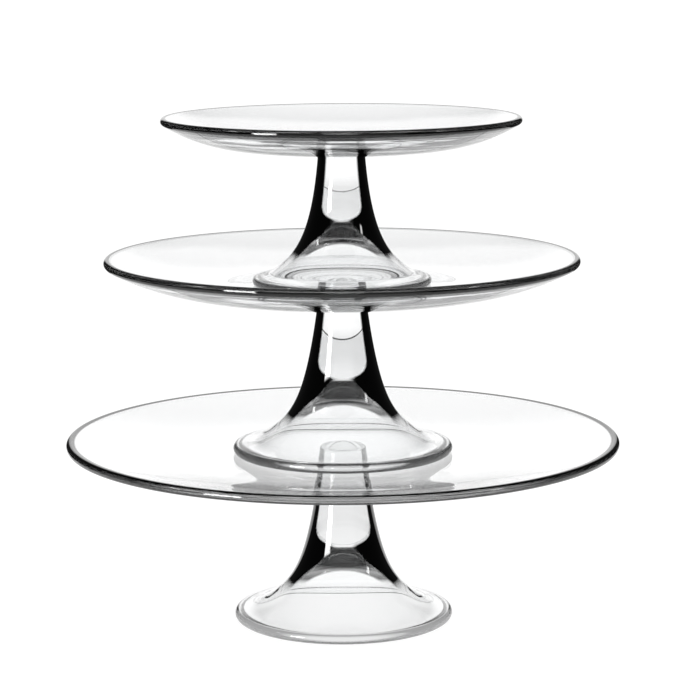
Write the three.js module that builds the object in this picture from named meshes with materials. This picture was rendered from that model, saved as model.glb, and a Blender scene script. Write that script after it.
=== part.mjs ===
// Three-tier clear glass cake stand.
//
// Three footed plates stack on one axis: each is a dished plate with a rounded rim, bonded to a
// trumpet-shaped pedestal that is solid in its stem and hollow under its flared foot.
// The foot of an upper stand simply rests in the well of the plate below it.
//
// Units are millimetres, +Z is up, and the origin is at the centre of the bottom foot's rest face.

import * as THREE from 'three';

// ---- driving dimensions -------------------------------------------------------------------

const PLATE_SECTORS = 64;
const PEDESTAL_SECTORS = 48;

const BOND_THICKNESS = 0.3; // cured adhesive between a pedestal and its plate
const FOOT_CLEARANCE = 0.1; // between a foot's rest face and the well that it stands in
const FOOT_FLAT_WIDTH = 2; // ground flat under a foot's rolled bead
const SHOULDER_RADIUS = 1.6; // rounding round a pedestal's top face
const TOE_ANGLE = 77; // degrees round the foot's bead at which the flare runs into it

// A pedestal's outer radius at height h is
//   core + stem * exp(-h / stemHeight) + skirt * exp(-h / skirtHeight),
// down to toeHeight, and from there a short curve runs tangent into the foot's rolled bead.
// Its hollow is a bell, whose height at radius r is
//   lip + (crown - lip) * exp(-(r / width) ^ power).
const TALL_PEDESTAL = {
  height: 95.7,
  footRadius: 65.7,
  beadRadius: 3,
  toeHeight: 9,
  outer: { core: 5.4, stem: 32.3, stemHeight: 72, skirt: 45.4, skirtHeight: 10 },
  bell: { crown: 42.5, lip: 1.5, width: 35.3, power: 2.35 },
};

const SHORT_PEDESTAL = {
  height: 80.2,
  footRadius: 53.2,
  beadRadius: 2.8,
  toeHeight: 7.5,
  outer: { core: 11.1, stem: 27.4, stemHeight: 34, skirt: 23.3, skirtHeight: 9 },
  bell: { crown: 36.5, lip: 1.3, width: 30, power: 2.4 },
};

// A plate is a wall of nearly even thickness that ends in a fully rounded rim. It is flat out to
// floorRadius and then rises ever more steeply, up to wallAngle degrees where it meets the rim.
// beadHeight is the height of the rounded rim's centre above the underside.
const TIERS = [
  {
    name: 'bottom',
    pedestal: TALL_PEDESTAL,
    plate: {
      radius: 165.1,
      floorRadius: 78,
      floorThickness: 5.6,
      beadRadius: 2.6,
      beadHeight: 12.9,
      wallAngle: 12,
    },
  },
  {
    name: 'middle',
    pedestal: TALL_PEDESTAL,
    plate: {
      radius: 141,
      floorRadius: 50,
      floorThickness: 5,
      beadRadius: 2.4,
      beadHeight: 19.8,
      wallAngle: 28,
    },
  },
  {
    name: 'top',
    pedestal: SHORT_PEDESTAL,
    plate: {
      radius: 106.35,
      floorRadius: 45,
      floorThickness: 4.6,
      beadRadius: 2.2,
      beadHeight: 17,
      wallAngle: 31,
    },
  },
];

// ---- outlines -----------------------------------------------------------------------------

/** Points on an arc round (r, z), from one angle in degrees to another, both ends included. */
function arc(r, z, radius, fromDegrees, toDegrees, steps) {
  const points = [];
  for (let i = 0; i <= steps; i += 1) {
    const angle = THREE.MathUtils.degToRad(fromDegrees + ((toDegrees - fromDegrees) * i) / steps);
    points.push(new THREE.Vector2(r + radius * Math.cos(angle), z + radius * Math.sin(angle)));
  }
  return points;
}

/** Points (r, heightAt(r)) for steps + 1 radii spread evenly from one radius to another. */
function curveOverRadius(fromRadius, toRadius, steps, heightAt) {
  const points = [];
  for (let i = 0; i <= steps; i += 1) {
    const r = fromRadius + ((toRadius - fromRadius) * i) / steps;
    points.push(new THREE.Vector2(r, heightAt(r)));
  }
  return points;
}

/** Outer radius of a pedestal's flare at height h. */
function flareRadius({ core, stem, stemHeight, skirt, skirtHeight }, h) {
  return core + stem * Math.exp(-h / stemHeight) + skirt * Math.exp(-h / skirtHeight);
}

/** Rise of a pedestal's flare per unit of radius, going inwards, at height h. */
function flareSlope({ stem, stemHeight, skirt, skirtHeight }, h) {
  const stemTerm = (stem / stemHeight) * Math.exp(-h / stemHeight);
  const skirtTerm = (skirt / skirtHeight) * Math.exp(-h / skirtHeight);
  return 1 / (stemTerm + skirtTerm);
}

/** Curve from the foot's bead up to the flare, tangent to both. */
function toeCurve(beadPoint, flarePoint, slopeAtFlare) {
  const slopeAtBead = 1 / Math.tan(THREE.MathUtils.degToRad(TOE_ANGLE));
  const beadIntercept = beadPoint.y + slopeAtBead * beadPoint.x;
  const flareIntercept = flarePoint.y + slopeAtFlare * flarePoint.x;
  const cornerRadius = (flareIntercept - beadIntercept) / (slopeAtFlare - slopeAtBead);
  const cornerHeight = flarePoint.y - slopeAtFlare * (cornerRadius - flarePoint.x);
  const corner = new THREE.Vector2(cornerRadius, cornerHeight);
  return new THREE.QuadraticBezierCurve(beadPoint, corner, flarePoint);
}

/** Half section of a pedestal, from the crown of its hollow to the middle of its top face. */
function pedestalOutline({ height, footRadius, beadRadius, toeHeight, outer, bell }) {
  const beadHeight = Math.sqrt(beadRadius ** 2 - (FOOT_FLAT_WIDTH / 2) ** 2);
  const beadCentre = footRadius - beadRadius;
  const bellHeight = (r) =>
    bell.lip + (bell.crown - bell.lip) * Math.exp(-((r / bell.width) ** bell.power));

  const flatAngle = THREE.MathUtils.radToDeg(Math.asin(beadHeight / beadRadius));
  const hollow = curveOverRadius(0, beadCentre - 1.3 * beadRadius, 10, bellHeight);
  const beadInside = arc(beadCentre, beadHeight, beadRadius, 180, 180 + flatAngle, 2);
  const beadOutside = [
    ...arc(beadCentre, beadHeight, beadRadius, -flatAngle, 0, 2),
    ...arc(beadCentre, beadHeight, beadRadius, 40, TOE_ANGLE, 1),
  ];

  const beadPoint = beadOutside.at(-1);
  const flarePoint = new THREE.Vector2(flareRadius(outer, toeHeight), toeHeight);
  const toe = toeCurve(beadPoint, flarePoint, flareSlope(outer, toeHeight)).getPoints(2).slice(1);

  // The flare is sampled more closely towards the foot, where it turns fastest.
  const flareEnd = height - SHOULDER_RADIUS;
  const flareSteps = 8;
  const flare = [];
  for (let i = 1; i <= flareSteps; i += 1) {
    const h = toeHeight + (flareEnd - toeHeight) * (i / flareSteps) ** 1.6;
    flare.push(new THREE.Vector2(flareRadius(outer, h), h));
  }
  const faceRadius = flareRadius(outer, flareEnd) - SHOULDER_RADIUS;
  const shoulder = arc(faceRadius, flareEnd, SHOULDER_RADIUS, 30, 90, 2);
  const faceCentre = new THREE.Vector2(0, height);
  return [...hollow, ...beadInside, ...beadOutside, ...toe, ...flare, ...shoulder, faceCentre];
}

/** Radius of a pedestal's flat top face. */
function topFaceRadius({ height, outer }) {
  return flareRadius(outer, height - SHOULDER_RADIUS) - SHOULDER_RADIUS;
}

/** Face of a plate's wall: level at its inner end and at the wall's angle at its outer end. */
function wallFace(floorRadius, floorHeight, endRadius, endHeight, endSlope) {
  const run = endRadius - floorRadius;
  const rise = endHeight - floorHeight;
  const power = (endSlope * run) / rise;
  const heightAt = (r) => floorHeight + rise * ((r - floorRadius) / run) ** power;
  return curveOverRadius(floorRadius, endRadius, 6, heightAt);
}

/** Half section of a plate, from the middle of its underside to the middle of its well. */
function plateOutline({ radius, floorRadius, floorThickness, beadRadius, beadHeight, wallAngle }) {
  const angle = THREE.MathUtils.degToRad(wallAngle);
  const beadCentre = radius - beadRadius;
  const inset = beadRadius * Math.sin(angle);
  const lift = beadRadius * Math.cos(angle);
  const slope = Math.tan(angle);
  const underside = wallFace(floorRadius, 0, beadCentre + inset, beadHeight - lift, slope);
  const well = wallFace(floorRadius, floorThickness, beadCentre - inset, beadHeight + lift, slope);

  // The rim's arc has a point at its widest and one at its highest, and shares its ends with the
  // two faces of the wall.
  const rim = [
    ...arc(beadCentre, beadHeight, beadRadius, wallAngle - 90, 0, 3).slice(1),
    ...arc(beadCentre, beadHeight, beadRadius, 0, 90, 3).slice(1),
  ];
  const underCentre = new THREE.Vector2(0, 0);
  const wellCentre = new THREE.Vector2(0, floorThickness);
  return [underCentre, ...underside, ...rim, ...well.reverse(), wellCentre];
}

/** Half section of a flat round disc. */
function discOutline(radius, thickness) {
  return [
    new THREE.Vector2(0, 0),
    new THREE.Vector2(radius, 0),
    new THREE.Vector2(radius, thickness),
    new THREE.Vector2(0, thickness),
  ];
}

// ---- solids -------------------------------------------------------------------------------

/** A solid of revolution about +Z with its outline's zero height at z. */
function turned(name, outline, sectors, z, material) {
  const geometry = new THREE.LatheGeometry(outline, sectors);
  geometry.rotateX(Math.PI / 2);
  const mesh = new THREE.Mesh(geometry, material);
  mesh.name = name;
  mesh.position.z = z;
  return mesh;
}

function clearGlass() {
  return new THREE.MeshStandardMaterial({
    color: 0xf3f7f6,
    roughness: 0.03,
    metalness: 0,
    transparent: true,
    opacity: 0.35,
  });
}

function clearAdhesive() {
  return new THREE.MeshStandardMaterial({
    color: 0xf6f5ee,
    roughness: 0.12,
    metalness: 0,
    transparent: true,
    opacity: 0.4,
  });
}

/** One footed plate: its pedestal, the adhesive disc and the plate, from restHeight up. */
function footedPlate({ name, pedestal, plate }, restHeight) {
  const bondHeight = restHeight + pedestal.height;
  const plateHeight = bondHeight + BOND_THICKNESS;
  const bondOutline = discOutline(topFaceRadius(pedestal), BOND_THICKNESS);

  const stand = new THREE.Group();
  stand.add(
    turned(`${name}_pedestal`, pedestalOutline(pedestal), PEDESTAL_SECTORS, restHeight, clearGlass()),
    turned(`${name}_bond`, bondOutline, PEDESTAL_SECTORS, bondHeight, clearAdhesive()),
    turned(`${name}_plate`, plateOutline(plate), PLATE_SECTORS, plateHeight, clearGlass()),
  );
  return stand;
}

// ---- the stack of three stands ------------------------------------------------------------

const cakeStand = new THREE.Group();
let restHeight = 0;
for (const tier of TIERS) {
  cakeStand.add(footedPlate(tier, restHeight));
  const wellHeight = restHeight + tier.pedestal.height + BOND_THICKNESS + tier.plate.floorThickness;
  restHeight = wellHeight + FOOT_CLEARANCE;
}

export default cakeStand;
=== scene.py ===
"""Looks of the three-tier clear glass cake stand.

Each CAD node is replaced by a smooth turned piece of the same size in the same place: three dished
plates, three trumpet pedestals and the three adhesive films between them. Shapes are in
millimetres, and MM turns them into metres for Blender.
"""

import math

import bpy
from mathutils import Matrix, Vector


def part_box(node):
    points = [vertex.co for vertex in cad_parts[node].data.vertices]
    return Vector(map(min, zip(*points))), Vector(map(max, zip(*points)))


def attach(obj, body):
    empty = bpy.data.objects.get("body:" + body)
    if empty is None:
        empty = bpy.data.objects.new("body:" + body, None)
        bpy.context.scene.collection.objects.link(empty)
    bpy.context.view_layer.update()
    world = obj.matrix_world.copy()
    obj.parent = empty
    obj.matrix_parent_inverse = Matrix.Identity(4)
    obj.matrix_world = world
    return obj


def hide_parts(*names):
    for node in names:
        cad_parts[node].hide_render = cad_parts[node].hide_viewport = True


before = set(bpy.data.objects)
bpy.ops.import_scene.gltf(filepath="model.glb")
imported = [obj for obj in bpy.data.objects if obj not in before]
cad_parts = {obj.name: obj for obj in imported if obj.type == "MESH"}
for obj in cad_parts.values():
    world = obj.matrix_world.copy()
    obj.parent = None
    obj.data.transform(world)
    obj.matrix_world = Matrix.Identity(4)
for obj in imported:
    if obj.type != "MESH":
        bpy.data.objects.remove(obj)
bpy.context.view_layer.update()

MM = 0.001

# ---- shapes that the frame's boxes don't give --------------------------------------------------

PEDESTAL_SECTORS = 192
PLATE_SECTORS = 288
SHARP_ANGLE = 40.0  # degrees between faces, above which an edge stays crisp

FOOT_FLAT_WIDTH = 2.0
SHOULDER_RADIUS = 1.6
TOE_ANGLE = 77.0  # degrees round the foot's bead at which the flare runs into it
HOLLOW_INSET = 1.15  # from the bead's centre to the edge of the hollow, in bead radii

# A pedestal's outer radius at height h is
#   core + stem * exp(-h / stem_height) + skirt * exp(-h / skirt_height),
# and its hollow is a bell, whose height at radius r is
#   lip + (crown - lip) * exp(-(r / width) ** power).
TALL_PEDESTAL = {
    "bead_radius": 3.0,
    "toe_height": 9.0,
    "outer": {"core": 5.4, "stem": 32.3, "stem_height": 72.0, "skirt": 45.4, "skirt_height": 10.0},
    "bell": {"crown": 42.5, "lip": 1.5, "width": 35.3, "power": 2.35},
}
SHORT_PEDESTAL = {
    "bead_radius": 2.8,
    "toe_height": 7.5,
    "outer": {"core": 11.1, "stem": 27.4, "stem_height": 34.0, "skirt": 23.3, "skirt_height": 9.0},
    "bell": {"crown": 36.5, "lip": 1.3, "width": 30.0, "power": 2.4},
}

# Steps along each stretch of an outline, which is far finer than the CAD solid's.
HOLLOW_STEPS = 72
BEAD_INSIDE_STEPS = 10
BEAD_OUTSIDE_STEPS = 22
TOE_STEPS = 12
FLARE_STEPS = 64
FLARE_CLOSENESS = 1.3  # above 1, the flare's steps are closer together towards the foot
SHOULDER_STEPS = 10
WALL_STEPS = 64
RIM_STEPS = 28
FLOOR_STEPS = 8

FILM_ROUNDING = 0.05
WETTING = 0.02  # how far an adhesive film reaches into each of its two glass faces

# clear_width is the part of the stem's width left clear of its painted dark edge, so it can be seen
# through. The next three values are painted shade in the glass's colour, from 0 for clear glass to 1 for
# black: on the edges of the foot's bead, on the plate's thick rim even when it is seen head-on, and in
# the darkest painted streaks round the outside of the plate's wall.
TIERS = {
    "bottom": {
        "clear_width": 0.78,
        "bead_painted_shade": 0.84,
        "rim_painted_shade": 0.65,
        "streak_painted_shade": 0.5,
        "pedestal": TALL_PEDESTAL,
        "plate": {
            "floor_radius": 78.0,
            "floor_thickness": 5.6,
            "bead_radius": 2.6,
            "wall_angle": 12.0,
        },
    },
    "middle": {
        "clear_width": 0.68,
        "bead_painted_shade": 0.99,
        "rim_painted_shade": 0.88,
        "streak_painted_shade": 0.96,
        "pedestal": TALL_PEDESTAL,
        "plate": {
            "floor_radius": 50.0,
            "floor_thickness": 5.0,
            "bead_radius": 2.4,
            "wall_angle": 28.0,
        },
    },
    "top": {
        "clear_width": 0.62,
        "bead_painted_shade": 0.99,
        "rim_painted_shade": 0.88,
        "streak_painted_shade": 0.96,
        "pedestal": SHORT_PEDESTAL,
        "plate": {
            "floor_radius": 45.0,
            "floor_thickness": 4.6,
            "bead_radius": 2.2,
            "wall_angle": 31.0,
        },
    },
}

# ---- glass: noise is in cells per metre, and painted shades are from 0 for clear to 1 for black ---

GLASS_IOR = 1.52
GLASS_COLOUR = (0.992, 0.997, 1.0)

# Pressed glass keeps a faint waviness from its mould, with a depth in metres.
MOULD_CELLS = 26.0
MOULD_STRENGTH = 0.05
MOULD_DEPTH = 0.0004

# Handling leaves a few patches a trace less polished.
HANDLED_CELLS = 38.0
HANDLED_NOISE = (0.55, 0.8)  # from polished to least polished
HANDLED_ROUGHNESS = 0.01

ADHESIVE_IOR = 1.50
ADHESIVE_CLEAR = (0.98, 0.985, 0.98, 1.0)
ADHESIVE_CLOUDY = (0.93, 0.94, 0.93, 1.0)
ADHESIVE_ROUGHNESS = (0.01, 0.08)  # where it is clear, and where it is cloudy
CLOUD_CELLS = 240.0
CLOUD_NOISE = (0.35, 0.7)  # from clear to cloudy, for the colour
HAZE_NOISE = (0.4, 0.8)  # from clear to cloudy, for the roughness

# Facing is 1 where glass is seen head-on and 0 at its very edge. Heights are from 0 at a pedestal's
# rest face to 1 at its top face. Outward is 1 where a surface faces straight away from the piece's
# axis and -1 where it faces straight at it.

# Facing up to which the solid glass of the flare is painted dark, by height.
FLARE_EDGE = [
    (0.20, 0.45),
    (0.26, 0.53),
    (0.31, 0.63),
    (0.36, 0.76),
    (0.40, 0.87),
    (0.43, 0.91),
    (0.495, 1.0),
]

# The same over the hollow, in shares of the way from the stem's own limit to 1.
CUP_EDGE = [(0.51, 0.88), (0.525, 0.62), (0.54, 0.4), (0.56, 0.2), (0.60, 0.0)]

# Painted grey shade in a pedestal's glass colour by height: over the crown of the hollow, and on the stem
# above it.
CROWN_PAINTED_SHADE = [
    (0.355, 0.0),
    (0.385, 0.97),
    (0.485, 0.97),
    (0.505, 0.15),
    (0.60, 0.25),
    (0.74, 0.35),
    (0.82, 0.0),
]

# How the pedestal's painted dark edge fades in and where it stops.
EDGE_BLUR = (-0.04, 0.03)  # facing less its limit, from dark to clear
THIN_GLASS = (0.17, 0.25)  # heights between which the dark edge comes in
WALL_LIMIT = (0.65, 0.9)  # upward part of the normal, from a wall to a face that lies flat

# Painted shade on the foot's bead: dark lines at its edges, and a lighter grey middle.
BEAD_TOP = (0.055, 0.07)  # heights between which the foot's bead ends
BEAD_EDGE = (0.78, 0.985)  # facing, from the bead's dark edges to its lighter middle
BEAD_MIDDLE = 0.35  # shade of the bead's middle, as a share of its edges' shade
BEAD_OUTSIDE = (0.1, 0.4)  # outward values between which the bead's dark outside begins

# Painted shade on a plate's rim: black at its edges, and its own grey head-on.
RIM_EDGE = (0.65, 0.97)  # facing, from the rim's dark edges to its own shade
RIM_EDGE_DARK = 0.99
RIM_INSIDE = (-0.55, -0.35)  # outward values between which the dark rim begins
RIM_BLUR = 0.004  # to each side of where the rim starts, the plate's radius being 1

# Painted streaks of shade round the outside of a plate's wall, standing in for its streaky reflections.
STREAK_CELLS = (22.0, 22.0, 600.0)  # far flatter than they are long, so they run round the wall
STREAK_NOISE = (0.38, 0.56)  # from clear to the darkest streak
STREAKED_OUTSIDE = (0.04, 0.2)  # outward values between which the streaked outside begins

# ---- camera: lens and sensor in millimetres, places in metres, angles in radians ---------------

LENS = 132.345
SENSOR_WIDTH = 36.0
SHIFT_X = 0.00734  # in sensor widths
CAMERA_DISTANCE = 1.5018
CAMERA_HEIGHT = 0.4195
CAMERA_PITCH = 0.1681  # down from level
CAMERA_ROLL = -0.005

# ---- studio: angles in degrees, elevations from the horizon, bearings from straight behind ------

WHITE = 1.06  # strength of the white surroundings
CEILING = (16.0, 26.0)  # elevations between which light through the glass goes dark
MIRRORED_CEILING = (34.0, 46.0)  # the same for light reflected off it
BACK_WINDOW = (10.0, 16.0)  # bearings between which the white behind ends, in reflections
FRONT_WINDOW = (136.0, 144.0)  # bearings between which the window in front starts
FRONT_LEVEL = 0.4  # brightness of the window in front, the white behind being 1
SIDE_LEVEL = 0.03  # the same for the dark sides

# Soft boxes that show only as reflections: bearing, half width, lowest elevation, highest elevation
# and strength.
SOFT_BOXES = [
    (-131.0, 8.0, -30.0, 17.0, 22.0),
    (-100.0, 3.0, 30.0, 36.0, 12.0),
    (112.0, 3.0, 22.0, 28.0, 12.0),
]
SOFT_BOX_BLUR = 1.0  # to each side of an edge

# The table top, with lengths in metres.
TABLE_RADIUS = 0.8
TABLE_SECTORS = 96
TABLE_CLEARANCE = 0.0002  # under the foot's rest face
TABLE_GREY = (0.10, 0.10, 0.10, 1.0)
TABLE_ROUGHNESS = 0.6
TABLE_SPECULAR = 0.1
TABLE_GLOW = 0.96

LIGHT_BOUNCES = 16


# ---- objects and the camera --------------------------------------------------------------------


def placed(name, data):
    """A new object in the scene, with a mesh or a camera as its data."""
    thing = bpy.data.objects.new(name, data)
    bpy.context.scene.collection.objects.link(thing)
    return thing


def add_camera():
    data = bpy.data.cameras.new("camera")
    data.sensor_width = SENSOR_WIDTH
    data.lens = LENS
    data.shift_x = SHIFT_X
    data.clip_start = 0.01
    data.clip_end = 100.0
    camera = placed("camera", data)
    place = Matrix.Translation((0.0, -CAMERA_DISTANCE, CAMERA_HEIGHT))
    tilt = Matrix.Rotation(math.pi / 2 - CAMERA_PITCH, 4, "X")
    camera.matrix_world = place @ tilt @ Matrix.Rotation(CAMERA_ROLL, 4, "Z")
    bpy.context.scene.camera = camera


# ---- outlines: lists of (radius, height), in millimetres ----------------------------------------


def arc(r, h, radius, start, end, steps):
    """Points on an arc round (r, h), from one angle in degrees to another, both ends included."""
    angles = [math.radians(start + (end - start) * i / steps) for i in range(steps + 1)]
    return [(r + radius * math.cos(a), h + radius * math.sin(a)) for a in angles]


def over_radius(start, end, steps, height_at):
    """Points on the curve height_at(r), for radii spread evenly from start to end."""
    radii = [start + (end - start) * i / steps for i in range(steps + 1)]
    return [(r, height_at(r)) for r in radii]


def flare_radius(outer, h):
    """Outer radius of a pedestal's flare at height h."""
    stem = outer["stem"] * math.exp(-h / outer["stem_height"])
    skirt = outer["skirt"] * math.exp(-h / outer["skirt_height"])
    return outer["core"] + stem + skirt


def flare_slope(outer, h):
    """Rise of a pedestal's flare per unit of radius, going inwards, at height h."""
    stem = outer["stem"] / outer["stem_height"] * math.exp(-h / outer["stem_height"])
    skirt = outer["skirt"] / outer["skirt_height"] * math.exp(-h / outer["skirt_height"])
    return 1.0 / (stem + skirt)


def toe_curve(bead_point, flare_point, slope_at_flare, steps):
    """Quadratic curve from the foot's bead up to the flare, tangent to both."""
    slope_at_bead = 1.0 / math.tan(math.radians(TOE_ANGLE))
    offset = flare_point[1] - bead_point[1]
    offset += slope_at_flare * flare_point[0] - slope_at_bead * bead_point[0]
    corner_r = offset / (slope_at_flare - slope_at_bead)
    corner_h = flare_point[1] - slope_at_flare * (corner_r - flare_point[0])
    points = []
    for i in range(1, steps + 1):
        t = i / steps
        a, b, c = (1 - t) ** 2, 2 * t * (1 - t), t * t
        r = a * bead_point[0] + b * corner_r + c * flare_point[0]
        points.append((r, a * bead_point[1] + b * corner_h + c * flare_point[1]))
    return points


def pedestal_outline(shape, height, foot_radius):
    """Half section of a pedestal, from the crown of its hollow to the middle of its top face."""
    outer, bell, bead = shape["outer"], shape["bell"], shape["bead_radius"]
    bead_height = math.sqrt(bead**2 - (FOOT_FLAT_WIDTH / 2) ** 2)
    bead_centre = foot_radius - bead
    flat_angle = math.degrees(math.asin(bead_height / bead))

    def bell_height(r):
        share = math.exp(-((r / bell["width"]) ** bell["power"]))
        return bell["lip"] + (bell["crown"] - bell["lip"]) * share

    hollow = over_radius(0.0, bead_centre - HOLLOW_INSET * bead, HOLLOW_STEPS, bell_height)
    inside = arc(bead_centre, bead_height, bead, 180, 180 + flat_angle, BEAD_INSIDE_STEPS)
    outside = arc(bead_centre, bead_height, bead, -flat_angle, TOE_ANGLE, BEAD_OUTSIDE_STEPS)

    toe_height = shape["toe_height"]
    toe_point = (flare_radius(outer, toe_height), toe_height)
    toe = toe_curve(outside[-1], toe_point, flare_slope(outer, toe_height), TOE_STEPS)

    flare_end = height - SHOULDER_RADIUS
    flare = []
    for i in range(1, FLARE_STEPS + 1):
        h = toe_height + (flare_end - toe_height) * (i / FLARE_STEPS) ** FLARE_CLOSENESS
        flare.append((flare_radius(outer, h), h))
    face_radius = flare[-1][0] - SHOULDER_RADIUS
    shoulder = arc(face_radius, flare_end, SHOULDER_RADIUS, 0, 90, SHOULDER_STEPS)
    return hollow + inside + outside + toe + flare + shoulder[1:] + [(0.0, height)]


def wall_face(floor_point, end, slope):
    """Face of a plate's wall: level at floor_point, and rising at slope at the point end."""
    start, level = floor_point
    run, rise = end[0] - start, end[1] - level
    power = slope * run / rise
    return over_radius(start, end[0], WALL_STEPS, lambda r: level + rise * ((r - start) / run) ** power)


def plate_outline(shape, radius, bead_height):
    """Half section of a plate, from the middle of its underside to the middle of its well."""
    bead, floor_radius, thickness = shape["bead_radius"], shape["floor_radius"], shape["floor_thickness"]
    wall_angle = shape["wall_angle"]
    bead_centre = radius - bead
    inset = bead * math.sin(math.radians(wall_angle))
    lift = bead * math.cos(math.radians(wall_angle))
    slope = math.tan(math.radians(wall_angle))
    under = wall_face((floor_radius, 0.0), (bead_centre + inset, bead_height - lift), slope)
    well = wall_face((floor_radius, thickness), (bead_centre - inset, bead_height + lift), slope)
    rim = arc(bead_centre, bead_height, bead, wall_angle - 90, wall_angle + 90, RIM_STEPS)
    radii = [floor_radius * k / FLOOR_STEPS for k in range(1, FLOOR_STEPS)]
    floor_under = [(r, 0.0) for r in radii]
    floor_top = [(r, thickness) for r in reversed(radii)]
    underside = [(0.0, 0.0)] + floor_under + under
    return underside + rim[1:-1] + well[::-1] + floor_top + [(0.0, thickness)]


def film_outline(radius, thickness):
    """Half section of an adhesive film, with its outer edges taken off."""
    return [
        (0.0, 0.0),
        (radius - FILM_ROUNDING, 0.0),
        (radius, FILM_ROUNDING),
        (radius, thickness - FILM_ROUNDING),
        (radius - FILM_ROUNDING, thickness),
        (0.0, thickness),
    ]


# ---- turned solids -----------------------------------------------------------------------------


def turned(name, outline, base, sectors):
    """A solid of revolution about Z, its outline's zero height at base."""
    vertices, rings = [], []
    for r, h in outline:
        z = (base + h) * MM
        if r == 0.0:
            rings.append([len(vertices)])
            vertices.append((0.0, 0.0, z))
            continue
        rings.append(range(len(vertices), len(vertices) + sectors))
        for k in range(sectors):
            angle = 2 * math.pi * k / sectors
            vertices.append((r * MM * math.cos(angle), r * MM * math.sin(angle), z))
    faces = []
    for low, high in zip(rings, rings[1:]):
        for k in range(sectors):
            after = (k + 1) % sectors
            if len(low) == 1:
                faces.append((low[0], high[after], high[k]))
            elif len(high) == 1:
                faces.append((low[k], low[after], high[0]))
            else:
                faces.append((low[k], low[after], high[after], high[k]))
    mesh = bpy.data.meshes.new(name)
    mesh.from_pydata(vertices, [], faces)
    mesh.validate()
    mesh.update()
    mesh.shade_smooth()
    mesh.set_sharp_from_angle(angle=math.radians(SHARP_ANGLE))
    return placed(name, mesh)


# ---- materials ---------------------------------------------------------------------------------


class Nodes:
    """Short forms for building a node tree. A value is a number or the output of a node."""

    def __init__(self, tree):
        self.tree = tree

    def add(self, kind, **settings):
        node = self.tree.nodes.new(kind)
        for key, value in settings.items():
            setattr(node, key, value)
        return node

    def link(self, source, target):
        self.tree.links.new(source, target)

    def feed(self, socket, value):
        if isinstance(value, (int, float)):
            socket.default_value = value
        else:
            self.link(value, socket)

    def math(self, operation, a, b=None):
        node = self.add("ShaderNodeMath", operation=operation)
        self.feed(node.inputs[0], a)
        if b is not None:
            self.feed(node.inputs[1], b)
        return node.outputs[0]

    def product(self, *factors):
        result = factors[0]
        for factor in factors[1:]:
            result = self.math("MULTIPLY", result, factor)
        return result

    def complement(self, value):
        return self.math("SUBTRACT", 1.0, value)

    def ramp(self, value, low, high, at_low, at_high):
        """Eased from at_low, where value is low or less, to at_high, where it is high or more."""
        node = self.add("ShaderNodeMapRange", interpolation_type="SMOOTHSTEP")
        for socket, number in zip(node.inputs, (value, low, high, at_low, at_high)):
            self.feed(socket, number)
        return node.outputs[0]

    def noise(self, scale, detail, stretch=(1.0, 1.0, 1.0)):
        place = self.add("ShaderNodeTexCoord")
        mapping = self.add("ShaderNodeMapping")
        mapping.inputs["Scale"].default_value = stretch
        self.link(place.outputs["Object"], mapping.inputs["Vector"])
        texture = self.add("ShaderNodeTexNoise")
        texture.inputs["Scale"].default_value = scale
        texture.inputs["Detail"].default_value = detail
        self.link(mapping.outputs["Vector"], texture.inputs["Vector"])
        return texture.outputs["Fac"]


def head_on(nodes):
    """1 where the glass is seen head-on and 0 where it turns away to its edge."""
    layer = nodes.add("ShaderNodeLayerWeight")
    layer.inputs["Blend"].default_value = 0.5
    return nodes.complement(layer.outputs["Facing"])


def upright(nodes):
    """1 on upright walls and 0 on faces that lie flat."""
    geometry = nodes.add("ShaderNodeNewGeometry")
    normal = nodes.add("ShaderNodeSeparateXYZ")
    nodes.link(geometry.outputs["Normal"], normal.inputs[0])
    return nodes.ramp(nodes.math("ABSOLUTE", normal.outputs[2]), *WALL_LIMIT, 1.0, 0.0)


def across_piece(nodes):
    """Height up the piece, 0 to 1, and distance from its axis, 0 to 1 at its widest."""
    place = nodes.add("ShaderNodeTexCoord")
    spread = nodes.add("ShaderNodeVectorMath", operation="MULTIPLY_ADD")
    nodes.link(place.outputs["Generated"], spread.inputs[0])
    spread.inputs[1].default_value = (2.0, 2.0, 1.0)
    spread.inputs[2].default_value = (-1.0, -1.0, 0.0)
    split = nodes.add("ShaderNodeSeparateXYZ")
    nodes.link(spread.outputs[0], split.inputs[0])
    x, y, height = split.outputs
    square = nodes.math("ADD", nodes.product(x, x), nodes.product(y, y))
    return height, nodes.math("SQRT", square)


def between(nodes, value, stops):
    """Level at value on the line through the (position, level) stops, all from 0 to 1."""
    ramp = nodes.add("ShaderNodeValToRGB")
    elements = ramp.color_ramp.elements
    while len(elements) < len(stops):
        elements.new(0.5)
    for element, (position, level) in zip(elements, stops):
        element.position = position
        element.color = (level, level, level, 1.0)
    nodes.link(value, ramp.inputs[0])
    return ramp.outputs[0]


def entering(nodes):
    """1 where a line of sight enters the glass and 0 where it leaves it."""
    geometry = nodes.add("ShaderNodeNewGeometry")
    return nodes.complement(geometry.outputs["Backfacing"])


def facing_out(nodes):
    """1 where the surface faces straight away from the piece's axis and -1 where it faces it."""
    place = nodes.add("ShaderNodeTexCoord")
    level = nodes.add("ShaderNodeVectorMath", operation="MULTIPLY")
    nodes.link(place.outputs["Object"], level.inputs[0])
    level.inputs[1].default_value = (1.0, 1.0, 0.0)
    outward = nodes.add("ShaderNodeVectorMath", operation="NORMALIZE")
    nodes.link(level.outputs[0], outward.inputs[0])
    geometry = nodes.add("ShaderNodeNewGeometry")
    product = nodes.add("ShaderNodeVectorMath", operation="DOT_PRODUCT")
    nodes.link(geometry.outputs["Normal"], product.inputs[0])
    nodes.link(outward.outputs[0], product.inputs[1])
    return product.outputs["Value"]


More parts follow.
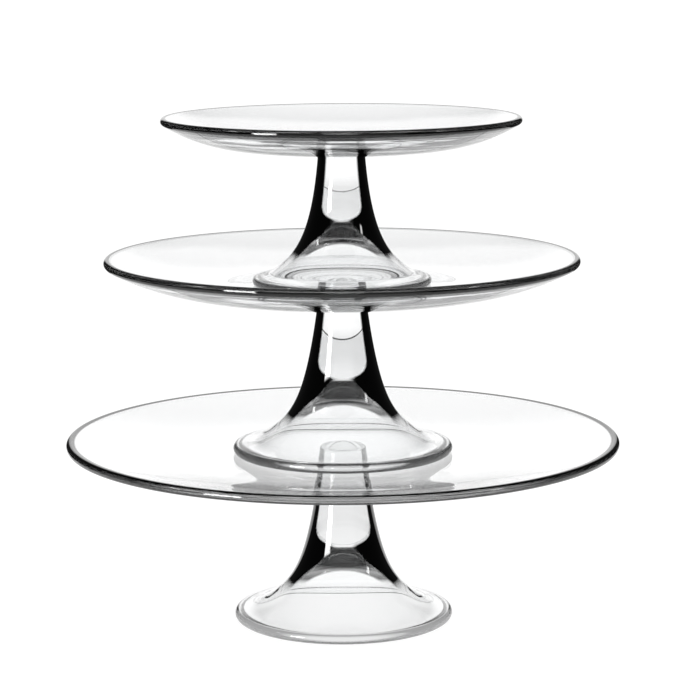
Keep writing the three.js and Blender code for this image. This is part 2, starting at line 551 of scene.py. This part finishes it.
def pedestal_painted_shade(nodes, look):
    """Painted shade in a pedestal's glass: dark edges, set by how thick the glass is at each height.

    Below the crown of the hollow the solid glass is only what stands out beyond the hollow, so the
    painted dark edge narrows to nothing. The crown gets a painted grey shade, and the foot's bead gets
    painted dark edges.
    """
    facing = head_on(nodes)
    height, _ = across_piece(nodes)
    stem_edge = math.sqrt(1 - look["clear_width"] ** 2)
    cup_edge = [(h, stem_edge + (1 - stem_edge) * share) for h, share in CUP_EDGE]
    limit = between(nodes, height, FLARE_EDGE + cup_edge)
    # Painted dark edge, where the solid glass turns away from the eye.
    edge = nodes.product(
        nodes.ramp(nodes.math("SUBTRACT", facing, limit), *EDGE_BLUR, 1.0, 0.0),
        nodes.ramp(height, *THIN_GLASS, 0.0, 1.0),
    )
    # Painted grey shade over the crown of the hollow and the stem above it.
    crown_painted_shade = between(nodes, height, CROWN_PAINTED_SHADE)
    solid = nodes.product(nodes.math("MAXIMUM", edge, crown_painted_shade), upright(nodes))

    # Painted dark edges on the foot's bead, with a lighter middle.
    dark = look["bead_painted_shade"]
    bead = nodes.product(
        nodes.ramp(height, *BEAD_TOP, 1.0, 0.0),
        nodes.ramp(facing, *BEAD_EDGE, dark, BEAD_MIDDLE * dark),
        nodes.ramp(facing_out(nodes), *BEAD_OUTSIDE, 0.0, 1.0),
    )
    return nodes.product(nodes.math("MAXIMUM", solid, bead), entering(nodes))


def plate_painted_shade(nodes, look):
    """Painted shade in a plate's glass: a dark rounded rim, and streaks round the outside of its wall."""
    _, distance = across_piece(nodes)
    out = facing_out(nodes)
    start = look["rim_start"]
    on_rim = nodes.ramp(distance, start - RIM_BLUR, start + RIM_BLUR, 0.0, 1.0)
    # Painted dark rim, darkest at its edges.
    rim = nodes.product(
        nodes.ramp(head_on(nodes), *RIM_EDGE, RIM_EDGE_DARK, look["rim_painted_shade"]),
        nodes.ramp(out, *RIM_INSIDE, 0.0, 1.0),
        on_rim,
    )
    # Painted streaks of shade round the outside of the wall, in place of its streaky reflections.
    painted_streaks = nodes.noise(1.0, detail=3.0, stretch=STREAK_CELLS)
    wall = nodes.product(
        nodes.ramp(out, *STREAKED_OUTSIDE, 0.0, 1.0),
        nodes.complement(on_rim),
        nodes.ramp(painted_streaks, *STREAK_NOISE, 0.0, look["streak_painted_shade"]),
    )
    return nodes.product(nodes.math("MAXIMUM", rim, wall), entering(nodes))


def shader_material(name, inputs):
    """A new material, its nodes, and its shader with the values in inputs set on its own sockets."""
    material = bpy.data.materials.new(name)
    material.use_nodes = True
    shader = material.node_tree.nodes["Principled BSDF"]
    for socket, value in inputs.items():
        shader.inputs[socket].default_value = value
    return material, Nodes(material.node_tree), shader


def glass_material(name, shade, look):
    """Clear pressed glass, its colour darkened by the painted shade from shade(nodes, look)."""
    material, nodes, shader = shader_material(name, {"IOR": GLASS_IOR, "Transmission Weight": 1.0})

    # The painted shade darkens the glass's own colour.
    clear = nodes.complement(shade(nodes, look))
    colour = nodes.add("ShaderNodeCombineColor")
    for socket, level in zip(colour.inputs, GLASS_COLOUR):
        nodes.link(nodes.product(clear, level), socket)
    nodes.link(colour.outputs[0], shader.inputs["Base Color"])

    handled = nodes.noise(HANDLED_CELLS, detail=3.0)
    roughness = nodes.ramp(handled, *HANDLED_NOISE, 0.0, HANDLED_ROUGHNESS)
    nodes.link(roughness, shader.inputs["Roughness"])

    bump = nodes.add("ShaderNodeBump")
    bump.inputs["Strength"].default_value = MOULD_STRENGTH
    bump.inputs["Distance"].default_value = MOULD_DEPTH
    nodes.link(nodes.noise(MOULD_CELLS, detail=1.0), bump.inputs["Height"])
    nodes.link(bump.outputs["Normal"], shader.inputs["Normal"])
    return material


def adhesive_material(name):
    """Clear cured adhesive, a little cloudy in places."""
    material, nodes, shader = shader_material(name, {"IOR": ADHESIVE_IOR, "Transmission Weight": 1.0})
    cured = nodes.noise(CLOUD_CELLS, detail=2.0)
    mix = nodes.add("ShaderNodeMix", data_type="RGBA")
    factor, _, _, _, _, _, first_colour, second_colour, *_ = mix.inputs
    nodes.link(nodes.ramp(cured, *CLOUD_NOISE, 0.0, 1.0), factor)
    first_colour.default_value = ADHESIVE_CLEAR
    second_colour.default_value = ADHESIVE_CLOUDY
    nodes.link(mix.outputs[2], shader.inputs["Base Color"])
    nodes.link(nodes.ramp(cured, *HAZE_NOISE, *ADHESIVE_ROUGHNESS), shader.inputs["Roughness"])
    return material


# ---- studio ------------------------------------------------------------------------------------


def soft_box(nodes, azimuth, elevation, box):
    """Light of one soft box, in the direction given by azimuth and elevation."""
    bearing, half_width, low, high, strength = box
    middle, reach = (low + high) / 2, (high - low) / 2
    aside = nodes.math("ABSOLUTE", nodes.math("SUBTRACT", azimuth, bearing))
    off_middle = nodes.math("ABSOLUTE", nodes.math("SUBTRACT", elevation, middle))
    across = nodes.ramp(aside, half_width - SOFT_BOX_BLUR, half_width + SOFT_BOX_BLUR, 1.0, 0.0)
    along = nodes.ramp(off_middle, reach - SOFT_BOX_BLUR, reach + SOFT_BOX_BLUR, 1.0, 0.0)
    return nodes.product(across, along, strength)


def studio():
    """White surroundings for a bright-field look, with a dark ceiling and soft windows in reflections."""
    world = bpy.data.worlds.new("studio")
    bpy.context.scene.world = world
    world.use_nodes = True
    world.node_tree.nodes.clear()
    nodes = Nodes(world.node_tree)
    place = nodes.add("ShaderNodeTexCoord")
    direction = nodes.add("ShaderNodeSeparateXYZ")
    nodes.link(place.outputs["Generated"], direction.inputs[0])
    east, north, up = direction.outputs
    azimuth = nodes.product(nodes.math("ARCTAN2", east, north), math.degrees(1.0))
    elevation = nodes.product(nodes.math("ARCSINE", up), math.degrees(1.0))

    through = nodes.ramp(elevation, *CEILING, 1.0, 0.0)

    bearing = nodes.math("ABSOLUTE", azimuth)
    behind = nodes.ramp(bearing, *BACK_WINDOW, 1.0, SIDE_LEVEL)
    front = nodes.ramp(bearing, *FRONT_WINDOW, 0.0, FRONT_LEVEL)
    below_ceiling = nodes.ramp(elevation, *MIRRORED_CEILING, 1.0, 0.0)
    mirrored = nodes.product(below_ceiling, nodes.math("MAXIMUM", behind, front))
    for box in SOFT_BOXES:
        mirrored = nodes.math("MAXIMUM", mirrored, soft_box(nodes, azimuth, elevation, box))

    rays = nodes.add("ShaderNodeLightPath")
    reflection = rays.outputs["Is Reflection Ray"]
    level = nodes.math(
        "ADD",
        nodes.product(mirrored, reflection),
        nodes.product(through, nodes.complement(reflection)),
    )
    for plain_white in ("Is Camera Ray", "Is Diffuse Ray"):
        level = nodes.math("MAXIMUM", level, rays.outputs[plain_white])
    background = nodes.add("ShaderNodeBackground")
    background.inputs["Color"].default_value = (1.0, 1.0, 1.0, 1.0)
    nodes.link(nodes.product(level, WHITE), background.inputs["Strength"])
    output = nodes.add("ShaderNodeOutputWorld")
    nodes.link(background.outputs[0], output.inputs[0])


def table_top():
    """A pale round table top just under the foot, lit so that it melts into the white surroundings."""
    mesh = bpy.data.meshes.new("floor")
    angles = [2 * math.pi * k / TABLE_SECTORS for k in range(TABLE_SECTORS)]
    points = [(TABLE_RADIUS * math.cos(a), TABLE_RADIUS * math.sin(a), -TABLE_CLEARANCE) for a in angles]
    mesh.from_pydata(points, [], [range(TABLE_SECTORS)])
    inputs = {
        "Base Color": TABLE_GREY,
        "Roughness": TABLE_ROUGHNESS,
        "Specular IOR Level": TABLE_SPECULAR,
        "Emission Color": (1.0, 1.0, 1.0, 1.0),
        "Emission Strength": TABLE_GLOW,
    }
    material, _, _ = shader_material("pale_floor", inputs)
    mesh.materials.append(material)
    table = placed("floor", mesh)


# ---- the three stands --------------------------------------------------------------------------


def size_of(node):
    """Radius, lowest and highest level of a CAD node, in millimetres."""
    low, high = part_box(node)
    return high.x / MM, low.z / MM, high.z / MM


def finished(piece, node, body, material):
    """Put the piece in the place of its CAD node, on a body, with its material."""
    piece.data.materials.append(material)
    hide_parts(node)
    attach(piece, body)


def add_pedestal(tier, look):
    node = f"{tier}_pedestal"
    foot_radius, rest, face = size_of(node)
    outline = pedestal_outline(look["pedestal"], face - rest, foot_radius)
    piece = turned(f"{node}_glass", outline, rest, PEDESTAL_SECTORS)
    glass = glass_material(f"{node}_pressed_glass", pedestal_painted_shade, look)
    finished(piece, node, f"{tier}_stand", glass)


def add_plate(tier, look):
    node = f"{tier}_plate"
    radius, underside, rim_top = size_of(node)
    bead_radius = look["plate"]["bead_radius"]
    outline = plate_outline(look["plate"], radius, rim_top - bead_radius - underside)
    piece = turned(f"{node}_glass", outline, underside, PLATE_SECTORS)
    rim_start = 1 - 2 * bead_radius / radius
    glass = glass_material(f"{node}_pressed_glass", plate_painted_shade, {**look, "rim_start": rim_start})
    finished(piece, node, f"{tier}_stand", glass)


def add_film(tier, adhesive):
    """Film of adhesive. It wets both glass faces, so it reaches a hair's breadth into each."""
    node = f"{tier}_bond"
    radius, low, high = size_of(node)
    outline = film_outline(radius, high - low + 2 * WETTING)
    piece = turned(f"{node}_film", outline, low - WETTING, PEDESTAL_SECTORS)
    finished(piece, node, f"{tier}_stand", adhesive)


add_camera()
studio()
table_top()
clear_adhesive = adhesive_material("clear_cured_adhesive")
for tier_name, tier_look in TIERS.items():
    add_pedestal(tier_name, tier_look)
    add_plate(tier_name, tier_look)
    add_film(tier_name, clear_adhesive)

scene = bpy.context.scene
scene.view_settings.view_transform = "Standard"
scene.cycles.max_bounces = LIGHT_BOUNCES
scene.cycles.transmission_bounces = LIGHT_BOUNCES
scene.cycles.glossy_bounces = LIGHT_BOUNCES
